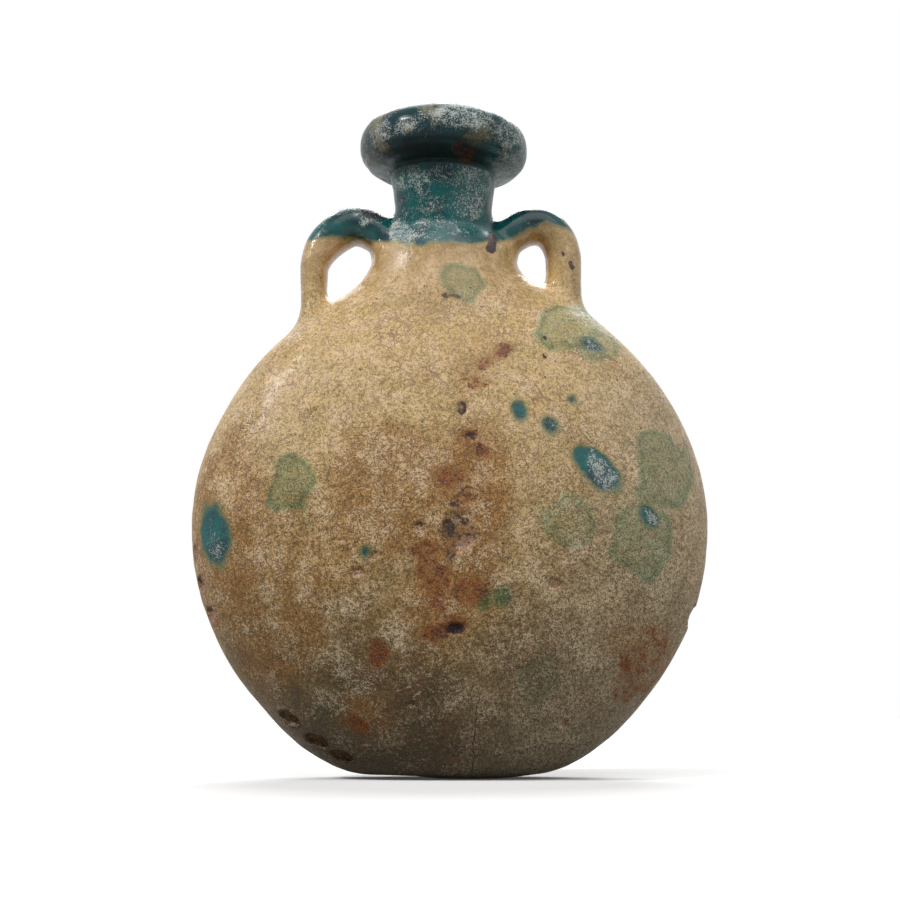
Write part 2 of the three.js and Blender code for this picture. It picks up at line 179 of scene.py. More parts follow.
# Marks of firing, glazing and long burial, on the front face and then on the back face. Each is
# across, height, half width, half height, lean to the left in degrees, strength or depth.
MARKS = {
    "teal": ([
        (-84, 85.5, 5.2, 11, 12, 1), (51.3, 107.7, 5.2, 9.6, 40, 1), (69.8, 91.5, 2.7, 4, 45, 1),
        (24, 128, 2.5, 3.5, 20, 1), (35, 122.5, 2.1, 3, 35, 1), (43, 132.5, 1.1, 1.1, 0, 1),
        (-29, 78, 1.4, 1.7, 0, 1), (51, 154.5, 3.8, 2.3, -10, 1),
    ], [
        (-40, 128, 5, 9, 15, 1), (22, 96, 3, 4.5, -20, 1), (66, 118, 3.5, 6, 30, 1),
        (-8, 60, 2, 2.5, 0, 1),
    ]),
    "green": ([
        (-56, 102, 9.5, 10.5, -25, 1.1), (67.5, 83.5, 12, 13, 0, 0.9), (76.5, 109, 12, 14, 0, 0.95),
        (41.5, 89, 10, 9.5, 0, 0.75), (36.5, 86.5, 3.4, 2, 20, 0.9), (11.6, 62, 2.9, 3.9, 10, 1.5),
        (18.3, 62.8, 3.9, 3.1, 0, 1.5), (30.5, 34.5, 8.7, 8, 0, 0.5), (43, 162, 14, 10, 35, 1),
        (54, 155, 9, 7, 20, 0.9), (4.4, 178.5, 8, 8, 0, 1), (-43.5, 22.5, 5.4, 3.4, 0, 0.4),
        (60.5, 87, 2.2, 3, 30, 0.8), (-48.5, 88.5, 2, 2, 0, 0.5),
    ], [
        (-40, 126, 12, 15, 10, 0.6), (30, 140, 13, 11, 0, 0.7), (58, 70, 12, 10, 20, 0.6),
        (-62, 74, 9, 10, 0, 0.5),
    ]),
    "rust": ([
        (19, 150.5, 4.4, 3, 40, 1), (12, 145.5, 4, 3, 30, 0.75), (8.5, 137.5, 3.8, 3, 0, 0.65),
        (3.5, 133, 2.6, 2.4, 0, 0.45), (7, 118.5, 4.4, 3.4, 0, 0.7), (11, 113.5, 3.6, 3.4, 0, 0.75),
        (-0.7, 104.5, 5.5, 4.2, 0, 0.75), (9.6, 99, 3, 3, 0, 0.5), (5.2, 95.5, 4.8, 4.6, 0, 0.65),
        (-8.6, 78.5, 4.8, 4.2, 0, 0.8), (-6, 70, 6.8, 6, 0, 0.65), (6.8, 65, 8.5, 4.7, 0, 0.6),
        (-3.4, 62, 5.5, 4.1, 0, 0.75), (1.5, 54, 4.8, 4.6, 0, 0.95), (-3.4, 51.3, 6.4, 3.4, 20, 0.95),
        (-25, 43, 3.3, 5, 0, 1.25), (61.8, 41, 2.6, 4, 0, 1), (67, 41, 10, 14, -10, 0.45),
        (74, 48.5, 4, 3.5, 0, 0.65), (59.5, 29.5, 5.3, 3.5, 0, 0.55), (-32, 19.5, 4.6, 3.1, -30, 0.9),
        (6.5, 226.5, 1.8, 1, -10, 0.9),
    ], [
        (-22, 84, 5, 9, 10, 0.7), (8, 140, 4, 6, -20, 0.6), (40, 52, 8, 6, 0, 0.7),
        (-50, 42, 5, 7, 0, 0.6),
    ]),
    "soot": ([
        (-0.6, 87, 2.4, 3.6, 10, 0.85), (0.8, 84, 1.8, 1.8, 0, 0.8), (5, 88.4, 2.6, 1.4, -20, 0.8),
        (3, 86, 7, 6, 0, 0.62), (0, 77.5, 2.6, 4.6, 0, 0.6), (8.4, 77.5, 1, 1.6, 0, 0.7),
        (2.2, 94.4, 2.8, 1.3, 20, 0.8), (4.8, 98.8, 1.6, 2.2, 0, 0.6), (9.6, 99, 2.4, 2, 0, 0.5),
        (4.5, 128.3, 2.1, 2.6, 0, 0.9), (6.9, 118, 2.6, 1.6, 0, 0.75), (10, 113.5, 1.6, 2.2, 0, 0.6),
        (2, 52, 3, 1.9, 0, 1.1), (-3, 50, 3, 2, 0, 0.6), (-10.5, 87.6, 2.6, 1.2, 0, 0.8),
        (-1, 172, 2.2, 1.6, 0, 0.85), (2.5, 171.5, 1.8, 1.4, 0, 0.8), (34, 156, 0.9, 1, 0, 1),
        (33.5, 148.5, 0.9, 1.4, 30, 1), (42, 193, 1.2, 1.6, 20, 0.8), (45.5, 188.5, 1.2, 2.6, 20, 0.8),
        (46.5, 182.5, 1, 1.5, 0, 0.7), (-28, 209.5, 6, 3.4, 0, 0.85), (-38, 211, 9, 3, 0, 0.6),
        (-48, 207, 4, 3, 40, 0.5), (15.5, 196, 2, 5, 0, 1), (15, 192.5, 2, 1.8, 0, 1.3),
        (3.5, 228, 4.2, 1.6, -10, 0.9),
    ], [
        (-22, 86, 2.5, 4, 10, 0.8), (41, 53, 3, 2, 0, 0.9), (12, 118, 1, 1.2, 0, 1),
    ]),
    "clay": ([
        (5.5, 81, 3.4, 2.6, 0, 1.2), (-10.4, 85.4, 2, 1.7, 30, 1.2), (5, 89, 3, 3, 0, 0.45),
        (4, 94, 11, 13, 0, 0.42), (-2, 62, 6, 8, 0, 0.4), (4.6, 128, 1.4, 1.6, 0, 0.7),
        (-31.6, 71, 2.8, 1.8, -15, 1), (-25.7, 77, 2.2, 1.7, 0, 0.9), (35.7, 67.4, 2.5, 2, 0, 0.9),
        (40, 19.5, 1.7, 1.5, 0, 0.9), (-13, 26, 1.6, 1.1, 0, 0.7), (-28.6, 12.6, 2.3, 1.1, 0, 0.8),
        (-15.5, 32, 4, 0.7, 20, 1), (-11, 30.3, 2.6, 0.7, 35, 0.9), (-91.5, 80.5, 2, 4, 0, 1.2),
        (-89.5, 68.5, 2.4, 4, 10, 1.2), (-85, 57.5, 2.8, 4, 10, 1.3),
    ], [
        (-22, 80, 2.5, 2, 0, 1), (50, 100, 2, 2.4, 0, 0.9), (-10, 34, 2.6, 1.8, 0, 1),
        (88, 74, 2.5, 4, 0, 1),
    ]),
    "orange": ([
        (3, 85, 16, 38, -8, 0.9), (-22, 100, 20, 22, 0, 0.6), (-80, 88, 16, 34, 0, 0.65),
        (-60, 50, 18, 16, 30, 0.5), (-48, 80, 22, 20, 0, 0.4), (-22, 186, 6, 4, 0, 0.4),
        (12, 187, 7, 4, 0, 0.35), (20, 174, 9, 5, 0, 0.3), (-6, 168, 12, 4, 0, 0.35),
        (0, 182, 24, 12, 0, 0.3), (-17, 106, 9, 9, 0, 0.6), (8, 146, 12, 9, 40, 0.4),
        (-5, 62, 12, 13, 0, 0.6), (67, 45, 12, 12, 0, 0.5), (-30, 24, 9, 6, 0, 0.5),
    ], [
        (-22, 84, 12, 22, 0, 0.7), (30, 60, 16, 12, 0, 0.6),
    ]),
    "frost": ([
        (-17, 198, 6, 8, 0, 1), (-14, 220, 7, 5, 0, 0.9), (7, 213, 7, 11, 0, 0.75),
        (12, 220, 5, 5, 0, 0.7), (-4, 200, 14, 5, 0, 0.55), (52.3, 106.8, 3.6, 7.6, 40, 0.85),
        (70, 91.3, 1.3, 2.4, 45, 0.75), (-83.5, 82, 3, 6, 12, 0.45), (51.5, 154.5, 1.8, 1, 0, 0.5),
        (-2, 212, 16, 15, 0, 0.35), (-18, 237, 10, 5, 0, 0.75), (5, 239, 12, 5.5, 0, 0.9),
        (-29, 232, 5, 7, 0, 0.45), (24, 235, 7, 8, 0, 0.75), (20, 227, 6, 4, 0, 0.6),
        (-31, 208, 6, 4, 0, 0.6),
    ], [
        (-10, 204, 9, 10, 0, 0.9), (8, 222, 8, 6, 0, 0.7), (0, 241, 20, 5, 0, 0.7),
        (-40, 128, 3, 5, 15, 0.8),
    ]),
    "gloss": ([
        (-17, 240, 4, 1.8, 10, 1), (-27, 195, 4, 9, 10, 1), (-40, 196, 3, 12, 0, 0.5),
        (-30, 180, 3, 2, 0, 0.8), (22, 199, 5, 3, -40, 0.9), (37, 188, 2, 5, 0, 0.9),
        (-40, 206, 5, 2, 0, 0.6), (34, 208, 6, 2, 0, 0.6), (-68, 138, 8, 28, -33, 0.7),
        (-44, 170, 8, 5, 0, 0.6),
    ], []),
    "pit": ([
        (4, 84.5, 5.2, 6.2, 0, 0.8), (0.9, 88.5, 3, 2.8, 0, 0.9), (5.5, 81.5, 3, 2.4, 0, 0.4),
        (4.5, 128.3, 2.3, 2.6, 0, 0.8), (6.9, 118, 2.6, 1.5, 0, 0.6), (5, 96, 3.4, 2.4, 0, 0.5),
        (-10.6, 86.4, 2.3, 1.7, 0, 0.5), (2, 52, 3, 1.9, 0, 1), (-31.6, 71, 2.8, 1.8, -15, 0.7),
        (-25.7, 77, 2, 1.6, 0, 0.6), (35.7, 67.4, 2.6, 2.1, 0, 0.7), (40, 19.5, 1.8, 1.7, 0, 0.5),
        (-13, 26, 1.5, 1, 0, 0.6), (-25, 43, 3.3, 5, 0, 0.25), (4, 227.5, 3.2, 1.8, -10, 0.5),
    ], []),
    "ridge": ([
        (-40.5, 148, 1.6, 2, 0, 0.4), (-42, 140, 1.5, 6, 20, 0.35), (-47.5, 130.5, 5, 1.6, 20, 0.4),
        (-53, 152, 4, 1.5, 25, 0.3), (-58, 146, 3, 2, 0, 0.3), (-26, 190, 1.8, 7, 8, 0.6),
        (23, 198, 1.5, 5, -35, 0.5), (-66, 134, 1.6, 5, -30, 0.35), (-74, 118, 1.4, 4, -20, 0.3),
        (-48, 155, 3, 1.4, 35, 0.3),
    ], []),
}

# The pits on the back lie where its clay is bare
MARKS["back_pit"] = [], MARKS["clay"][1]

# Marks that the materials read as they are: kind, softness of their edges, seed
MARK_EDGES = [
    ("rust", 2, 131), ("soot", 0.7, 141), ("orange", 4, 161), ("gloss", 1.5, 181), ("frost", 1.5, 171),
]


# Noise


def lattice_noise(corner, seed):
    """A fixed pseudo-random number from -1 to 1 for each whole-numbered corner."""
    x, y, z = (corner[..., i].astype(np.int64) for i in range(3))
    mixed = (x * 374761393 + y * 668265263 + z * 1440662683 + seed * 97531) & 0xFFFFFFFF
    mixed = ((mixed ^ (mixed >> 13)) * 1274126177) & 0xFFFFFFFF
    mixed = ((mixed ^ (mixed >> 15)) * 2246822519) & 0xFFFFFFFF
    return ((mixed ^ (mixed >> 16)) & 0xFFFFFF) / 0x7FFFFF - 1


def noise(points, size, seed):
    """Smooth noise from -1 to 1 whose lumps are about one size apart."""
    scaled = points / size
    base = np.floor(scaled)
    share = scaled - base
    share = share * share * (3 - 2 * share)
    total = np.zeros(len(points))
    for step in np.ndindex(2, 2, 2):
        offset = np.array(step)
        weight = np.prod(np.where(offset, share, 1 - share), axis=1)
        total += weight * lattice_noise(base + offset, seed)
    return total


def dimples(points, size, radius, share, seed):
    """Round hollows, 1 at their middle, at random places about one size apart."""
    base = np.floor(points / size)
    total = np.zeros(len(points))
    for step in np.ndindex(3, 3, 3):
        cell = base + np.array(step) - 1
        present = lattice_noise(cell, seed) < 2 * share - 1
        jitter = np.stack([lattice_noise(cell, seed + 1 + i) for i in range(3)], axis=1)
        place = (cell + 0.5 + 0.4 * jitter) * size
        reach = radius * (0.7 + 0.3 * lattice_noise(cell, seed + 4))
        apart = np.linalg.norm(points - place, axis=1) / reach
        total = np.maximum(total, np.where(present, np.clip(1 - apart**2, 0, 1) ** 2, 0))
    return total


def smooth_step(value, low, high):
    share = np.clip((value - low) / (high - low), 0, 1)
    return share * share * (3 - 2 * share)


# Distance fields: each is negative inside its form and counts millimetres near its surface


def blend(a, b, width):
    """The two forms joined, with clay smoothed into the corner over a width."""
    near = np.clip(1 - np.abs(a - b) / width, 0, None)
    return np.minimum(a, b) - near * near * width / 4


def carve(a, b, width):
    """What the first form keeps when the second is taken away, with a softened edge."""
    return -blend(-a, b, width)


def super_round(first, second, first_size, second_size, power):
    """A rounded outline of a given bluntness in two directions."""
    u = np.abs(first) / first_size
    v = np.abs(second) / second_size
    level = np.maximum((u**power + v**power) ** (1 / power), 0.02)
    steep = np.hypot(u ** (power - 1) / first_size, v ** (power - 1) / second_size)
    steepest = level ** (1 - power) * steep
    return (level - 1) / np.maximum(steepest, 0.2 / np.maximum(first_size, second_size))


def body_field(points, shrink=0):
    x, y, z = points.T
    slope = smooth_step(z, *SHOULDER_RISE) * (1 - smooth_step(z, *SHOULDER_FALL))
    across = np.hypot(x, z - BODY_MIDDLE) + SHOULDER_TAPER * slope
    across -= FOOT_SPREAD * (1 - smooth_step(z, *FOOT_RISE))
    return super_round(across, y, BODY_RADIUS - shrink, BODY_HALF_DEPTH - shrink, BODY_BLUNTNESS)


def neck_field(points):
    x, y, z = points.T
    share = np.clip((z - WAIST_HEIGHT) / (NECK_TOP_HEIGHT - WAIST_HEIGHT), 0, 1)
    radius = WAIST_RADIUS + (NECK_TOP_RADIUS - WAIST_RADIUS) * share**2
    flare = FLARE_REACH * smooth_step(z, FLARE_TOP, FLARE_BOTTOM)
    flare += FLARE_SLOPE * np.clip(FLARE_BOTTOM - z, 0, FLARE_DROP)
    out = np.hypot(x - NECK_X, y)
    sideways = ((x - NECK_X) / np.maximum(out, 1)) ** 2
    side = out - radius - flare * (FLARE_FRONT + (1 - FLARE_FRONT) * sideways)
    return np.maximum(side, np.maximum(z - LIP_MIDDLE, BODY_MIDDLE - z))


def lip_section(points):
    """How far points lie out from and above the middle of the lip's section."""
    x, y, z = points.T
    level = (x - NECK_X) * math.cos(LIP_TILT) - (z - LIP_MIDDLE) * math.sin(LIP_TILT)
    rise = (x - NECK_X) * math.sin(LIP_TILT) + (z - LIP_MIDDLE) * math.cos(LIP_TILT)
    return np.hypot(level, y) - (BORE_RADIUS + LIP_HALF_WIDTH), rise


def lip_field(points):
    out, rise = lip_section(points)
    rise = np.where(rise < 0, rise / LIP_BELOW, rise)
    return super_round(out, rise, LIP_HALF_WIDTH, LIP_HALF_HEIGHT, LIP_BLUNTNESS)


def bezier(points, steps=16):
    a, b, c, d = (np.array(p, float) for p in points)
    t = np.linspace(0, 1, steps)[:, None]
    return a * (1 - t) ** 3 + 3 * b * t * (1 - t) ** 2 + 3 * c * t * t * (1 - t) + d * t**3


def loop_line(loop):
    """A loop's middle line as x and z: up out of the neck, over the arch, down to the shoulder."""
    side, thickness = loop["side"], loop["thickness"]
    limb_reach = LOOP_START + loop["opening"] + thickness / 2
    apex_reach = LOOP_START + (limb_reach - LOOP_START) * loop["apex"]
    root = np.array([NECK_X + side * LOOP_START, ROOT_HEIGHT])
    start = root - np.array([side * BITE, BITE * ROOT_SLOPE])
    apex = np.array([NECK_X + side * apex_reach, BODY_TOP + loop["arch"] - thickness / 2])
    limb_x = NECK_X + side * limb_reach
    landing_z = BODY_MIDDLE + math.sqrt(BODY_RADIUS**2 - limb_x**2)
    limb = np.array([limb_x, (apex[1] + landing_z) / 2])
    rise = root + (apex - root) * np.array([ROOT_EASE, ROOT_LIFT])
    crest = np.array([apex[0] + (root[0] - apex[0]) * ROOT_EASE, apex[1]])
    bend = loop["roundness"]
    shoulder = np.array([apex[0] + (limb[0] - apex[0]) * bend, apex[1]])
    fall = np.array([limb_x, limb[1] + (apex[1] - limb[1]) * bend])
    up = bezier([root, rise, crest, apex])
    down = bezier([apex, shoulder, fall, limb])
    return np.vstack([start, up, down[1:], [limb_x, landing_z - BITE]])


def line_distance(x, z, line):
    """How far points lie from a line of short straight stretches in the loop's plane."""
    nearest = np.full(len(x), np.inf)
    for a, b in zip(line[:-1], line[1:]):
        along = b - a
        share = ((x - a[0]) * along[0] + (z - a[1]) * along[1]) / (along @ along)
        share = np.clip(share, 0, 1)
        apart = np.hypot(x - a[0] - share * along[0], z - a[1] - share * along[1])
        nearest = np.minimum(nearest, apart)
    return nearest


def loop_field(points, side):
    """One loop, worked out only near it: further off, its box stands for it."""
    loop = LOOPS[side]
    line = loop_line(loop)
    x, y, z = points.T
    half = loop["thickness"] / 2
    crown = line[:, 1].max()
    low, high = line.min(axis=0) - half, line.max(axis=0) + half
    depth = np.abs(y) - STRAP_HALF_DEPTH
    outside = np.maximum.reduce([low[0] - x, x - high[0], low[1] - z, z - high[1], depth])
    near = outside < LOOP_BLEND + 4
    field = outside.copy()
    apart = line_distance(x[near], z[near], line)
    swollen = half * (1 + loop["swell"] * smooth_step(z[near], crown - SWELL_REACH, crown))
    field[near] = super_round(apart, y[near], swollen, STRAP_HALF_DEPTH, STRAP_BLUNTNESS)
    return field


def base_field(points):
    """The body and the neck, smoothed together at the shoulder."""
    return blend(body_field(points), neck_field(points), SHOULDER_BLEND)


def skin_field(points):
    """The whole outside of the flask."""
    field = base_field(points)
    for side in LOOPS:
        field = blend(field, loop_field(points, side), LOOP_BLEND)
    field = blend(field, lip_field(points), LIP_BLEND)
    x, y, z = points.T
    foot = FOOT_CURL * smooth_step(np.hypot(x - FOOT_X, FOOT_LENGTH_TO_DEPTH * y), *FOOT_EDGE)
    return carve(field, z - foot, FOOT_BLEND)


def hollow_field(points):
    """The inside of the flask with the bead of slip along its seam, and the bore through the neck."""
    x, y, z = points.T
    bead = SEAM_BEAD_DEPTH * np.exp(-((y / SEAM_BEAD_WIDTH) ** 2))
    inside = body_field(points, WALL) + bead
    side = np.hypot(x - NECK_X, y) - BORE_RADIUS - BORE_CLEARANCE
    bore = np.maximum(side, np.maximum(BORE_START - z, z - LIP_MIDDLE - 2 * LIP_HALF_HEIGHT))
    return blend(inside, bore, BORE_BLEND)


# Wear

# Pieces broken from the edge: the middle of each, its half sizes, how soft its edge is
CHIPS = [
    ((91.8, -7, 57), (6, 12, 5.2), 0.8),
    ((-93.7, -13, 80), (2.6, 4, 3.6), 0.6),
    ((-92, -12, 68.5), (3.2, 4.5, 4), 0.6),
    ((-88.2, -13, 57.5), (3.2, 4, 3.6), 0.6),
    ((-57, -16, 21.3), (5, 3, 2.8), 0.8),
    ((-47.5, -16, 13.8), (6, 3, 2.4), 0.8),
    ((-38, -16, 8.6), (5, 3, 2), 0.8),
]


def pebble(points, middle, size):
    """A rounded lump to break out of an edge, negative inside."""
    apart = (points - np.array(middle)) / np.array(size)
    return (np.linalg.norm(apart, axis=1) - 1) * min(size)


def chipped_field(points):
    """The outside with the larger pieces that are broken from its edge."""
    rough = 0.5 * noise(points, 3, 71) + 0.25 * noise(points, 1.4, 72)
    field = skin_field(points)
    for middle, size, softness in CHIPS:
        field = carve(field, pebble(points, middle, size) + rough, softness)
    return field


def inside_mark(points, drift, mark):
    """How far inside a mark points lie, negative outside. The drift makes its edge uneven."""
    x, z, half_width, half_height, lean, _ = mark
    turn = math.radians(lean)
    share = min(min(half_width, half_height) / 5, 2)
    across = points[:, 0] + share * drift[0] - x
    up = points[:, 2] + share * drift[1] - z
    u = (across * math.cos(turn) + up * math.sin(turn)) / half_width
    v = (up * math.cos(turn) - across * math.sin(turn)) / half_height
    return (1 - np.hypot(u, v)) * min(half_width, half_height)


def placed_marks(points, kind, seed):
    """Each mark of a kind: its strength, how far inside it points lie, 1 where they face its side."""
    across = 1.6 * noise(points, 7, seed) + 0.4 * noise(points, 3, seed + 1)
    up = 1.6 * noise(points, 7, seed + 2) + 0.4 * noise(points, 3, seed + 3)
    for marks, facing in zip(MARKS[kind], (-1, 1)):
        seen = smooth_step(points[:, 1] * facing, 0, 3)
        for mark in marks:
            yield mark[5], inside_mark(points, (across, up), mark), seen


def marked(points, kind, soft, seed):
    """How strongly marks show: their strength well inside, fading to 0 over a soft edge."""
    total = np.zeros(len(points))
    for strength, inside, seen in placed_marks(points, kind, seed):
        total = np.maximum(total, strength * smooth_step(inside, -soft, soft) * seen)
    return total


def teal_depth(points):
    """How far inside the turquoise glaze points lie, in millimetres: negative outside."""
    x, y, z = points.T
    edge = BODY_TOP + np.interp(x, *np.array(TEAL_EDGE).T)
    runs = np.clip(y, 0, 14) / 14 * (3 * noise(points * [1, 1, 0.2], 7, 105) + 2)
    total = z - edge + runs + 1.1 * noise(points, 5, 106) + 0.6 * noise(points, 2, 107)
    for strength, inside, seen in placed_marks(points, "teal", 101):
        total = np.maximum(total, strength * inside - 30 * (1 - seen))
    return total


def green_share(points):
    """How strongly the thin green glaze shows, with a darker line round each patch."""
    total = np.zeros(len(points))
    for strength, inside, seen in placed_marks(points, "green", 111):
        line = np.exp(-(((inside - 1.2) / 1.3) ** 2))
        share = smooth_step(inside, -2, 2) * (0.6 + 0.4 * line)
        total = np.maximum(total, strength * share * seen)
    return total


# The painted shade on the underside of the lip, from the middle of its section, and how far it reaches
# across
UNDERSIDE_TOP = (-8.5, -3)
UNDERSIDE_BOTTOM = (-12.5, -10.5)
UNDERSIDE_X = -4
UNDERSIDE_REACH = (8, 30)


def lip_underside_shade(points):
    """Painted shade: 1 on the underside of the lip at the front and the back, 0 on its sides and top.
    """
    _, rise = lip_section(points)
    below = 1 - smooth_step(rise + 1.5 * noise(points, 9, 108), *UNDERSIDE_TOP)
    middle = 1 - smooth_step(np.abs(points[:, 0] - UNDERSIDE_X), *UNDERSIDE_REACH)
    return below * smooth_step(rise, *UNDERSIDE_BOTTOM) * middle


# Where the rim is rubbed: its distance from the body's middle, its half depth, its top
RIM_REACH = (86, 94)
RIM_DEPTH = (5, 20)
RIM_TOP = 175


def edge_wear(points):
    """1 along the rim where the two halves meet and the glaze is rubbed away, in patches."""
    x, y, z = points.T
    across = np.hypot(x, z - BODY_MIDDLE)
    rim = smooth_step(across, *RIM_REACH) * (1 - smooth_step(np.abs(y), *RIM_DEPTH))
    patches = smooth_step(noise(points, 9, 121) + 0.5 * noise(points, 3, 122), 0.1, 0.7)
    return rim * (z < RIM_TOP) * patches


# The widest unevenness of the surface: its size and its seed
RELIEF_WAVES = [(30, 11), (11, 12), (4.5, 13)]

# Where the body's rough surface ends in the smoother neck, and a groove where the lip is folded over
ROUGH_TOP = (178, 192)
GROOVE_RISE = -6.2
GROOVE_WIDTH = 0.7
GROOVE_REACH = (2, 14)


def relief(points):
    """How far the fired surface lies under the smooth form, in millimetres."""
    z = points[:, 2]
    broad, lumps, peel = (0.5 + 0.5 * noise(points, size, seed) for size, seed in RELIEF_WAVES)
    body = 1 - smooth_step(z, *ROUGH_TOP)
    depth = (0.5 * broad + 0.4 * lumps) * (0.35 + 0.65 * body) + 0.2 * peel
    depth += 0.35 * body * dimples(points, 10, 2.6, 0.22, 31)
    depth += 0.4 * body * dimples(points, 7, 0.9, 0.25, 41)
    depth += edge_wear(points) * dimples(points, 6, 2.6, 0.5, 51)
    depth += marked(points, "pit", 0.5, 61)
    depth += 0.35 * marked(points, "back_pit", 0.5, 62)
    depth -= marked(points, "ridge", 0.9, 63)
    out, rise = lip_section(points)
    groove = np.exp(-(((rise - GROOVE_RISE) / GROOVE_WIDTH) ** 2))
    groove *= (out > GROOVE_REACH[0]) * (out < GROOVE_REACH[1])
    depth += 0.5 * groove * smooth_step(noise(points, 14, 64), -0.5, 0.3)
    return np.maximum(depth, 0.02) * smooth_step(z, 0.1, 3)


# Meshes from fields


def sampled(field, low, counts, cell):
    """The field at every grid point, worked out exactly only in the blocks near the surface."""
    blocks = [-(-count // BLOCK) for count in counts]
    middles = [low[i] + cell * (np.arange(blocks[i]) * BLOCK + (BLOCK - 1) / 2) for i in range(3)]
    grid = np.stack(np.meshgrid(*middles, indexing="ij"), axis=-1).reshape(-1, 3)
    values = field(grid).reshape(blocks)
    for axis in range(3):
        values = np.repeat(values, BLOCK, axis=axis)
    values = values[: counts[0], : counts[1], : counts[2]].copy()
    near = np.argwhere(np.abs(values) < cell * (BLOCK + 1))
    values[tuple(near.T)] = field(np.array(low) + cell * near)
    return values


def polygonised(field, low, high, cell):
    """Surface nets: a point in each grid cell that the surface crosses, a quad at each crossed edge."""
    counts = [int(math.ceil((high[i] - low[i]) / cell)) + 1 for i in range(3)]
    values = sampled(field, low, counts, cell)
    inside = values < 0
    cells = [count - 1 for count in counts]
    total = np.zeros(cells, np.int8)
    for dx, dy, dz in np.ndindex(2, 2, 2):
        total += inside[dx : dx + cells[0], dy : dy + cells[1], dz : dz + cells[2]]
    crossed = np.argwhere((total > 0) & (total < 8))
    index = np.full(cells, -1, np.int64)
    index[tuple(crossed.T)] = np.arange(len(crossed))
    place = np.zeros((len(crossed), 3))
    hits = np.zeros(len(crossed))
    for start in np.array(list(np.ndindex(2, 2, 2))):
        for step in np.eye(3, dtype=int):
            if start @ step:
                continue
            a, b = (values[tuple((crossed + end).T)] for end in (start, start + step))
            hit = (a < 0) != (b < 0)
            share = a[hit] / (a[hit] - b[hit])
            place[hit] += start + share[:, None] * step
            hits[hit] += 1
    points = np.array(low) + cell * (crossed + place / hits[:, None])
    faces = []
    for axis in range(3):
        u, v = np.roll(np.eye(3, dtype=int), -axis - 1, axis=0)[:2]
        edge = np.argwhere(np.diff(inside, axis=axis))
        edge = edge[((edge - u - v) >= 0).all(axis=1) & (edge < cells).all(axis=1)]
        quads = np.stack([index[tuple((edge - step).T)] for step in (u + v, v, 0 * u, u)], axis=1)
        flip = ~inside[tuple(edge.T)]
        quads[flip] = quads[flip][:, ::-1]
        faces.append(quads)
    return points, np.vstack(faces)


def is_closed(faces):
    """Whether every edge is shared by exactly two faces."""
    ends = np.stack([faces, np.roll(faces, -1, axis=1)], axis=-1).reshape(-1, 2)
    ends.sort(axis=1)
    counts = np.unique(ends[:, 0] * (faces.max() + 1) + ends[:, 1], return_counts=True)[1]
    return bool((counts == 2).all())


def read(data, name, width=1, kind=np.float32):
    """One property of all of a mesh's points, edges, faces or corners, a row for each."""
    values = np.zeros(len(data) * width, kind)
    data.foreach_get(name, values)
    return values.reshape(-1, width) if width > 1 else values


def closed_mesh(field, low, high, cell):
    """Points and faces that close up. Where a grid can't tell two sheets apart, it moves a little."""
    for attempt in range(TRIES):
        start = [value - SHIFT * attempt * cell for value in low]
        points, faces = polygonised(field, start, high, cell)
        if is_closed(faces):
            break
    return points, faces


def field_slope(field, points, step=0.05):
    slope = np.zeros_like(points)
    for axis in range(3):
        nudge = np.zeros(3)
        nudge[axis] = step
        slope[:, axis] = (field(points + nudge) - field(points - nudge)) / (2 * step)
    return slope


def settled(field, points, rounds=3):
    """The points moved onto the surface along the field's slope."""
    for _ in range(rounds):
        slope = field_slope(field, points)
        steep = np.maximum((slope**2).sum(axis=1), 0.1)
        points = points - slope * (np.clip(field(points), -1, 1) / steep)[:, None]
    return points


def corner_normals(points, faces):
    """Normals of a four-cornered mesh at its points, weighted by area."""
    across = points[faces[:, 2]] - points[faces[:, 0]]
    along = points[faces[:, 3]] - points[faces[:, 1]]
    face_normals = np.cross(across, along)
    normals = np.zeros_like(points)
    for i in range(4):
        for axis in range(3):
            normals[:, axis] += np.bincount(faces[:, i], face_normals[:, axis], len(points))
    return normals / np.linalg.norm(normals, axis=1)[:, None]


def place_in_scene(name, data):
    made = bpy.data.objects.new(name, data)
    bpy.context.scene.collection.objects.link(made)
    return made


def mesh_object(name, points, faces, finish):
    """A closed mesh from points in millimetres and four-cornered faces, all in one slot."""
    mesh = bpy.data.meshes.new(name)
    mesh.vertices.add(len(points))
    mesh.vertices.foreach_set("co", (points * MM).astype(np.float32).ravel())
    mesh.loops.add(faces.size)
    mesh.loops.foreach_set("vertex_index", faces.astype(np.int32).ravel())
    mesh.polygons.add(len(faces))
    mesh.polygons.foreach_set("loop_start", np.arange(0, faces.size, 4, dtype=np.int32))
    mesh.update(calc_edges=True)
    for holder in HOLDERS:
        mesh.materials.append(holder)
    mesh.polygons.foreach_set("material_index", np.full(len(faces), finish, np.int32))
    return place_in_scene(name, mesh)


def skin_mesh():
    """The points, faces and normals of the whole outside with its relief."""
    low = [shell_low[0] - MARGIN, -BODY_HALF_DEPTH - MARGIN, -MARGIN]
    high = [shell_high[0] + MARGIN, BODY_HALF_DEPTH + MARGIN, lip_high[2] + MARGIN]
    points, faces = closed_mesh(chipped_field, low, high, SKIN_CELL)
    points = settled(chipped_field, points)
    slope = field_slope(chipped_field, points, 0.2)
    slope /= np.maximum(np.linalg.norm(slope, axis=1), 0.2)[:, None]
    points = points - slope * relief(points)[:, None]
    return points, faces, corner_normals(points, faces)


def hollow_mesh():
    low = [shell_low[0], -BODY_HALF_DEPTH, 0]
    high = [shell_high[0], BODY_HALF_DEPTH, LIP_MIDDLE + 3 * LIP_HALF_HEIGHT]
    points, faces = closed_mesh(hollow_field, low, high, HOLLOW_CELL)
    return mesh_object("hollow", settled(hollow_field, points), faces, HOLLOW)


# Cutters


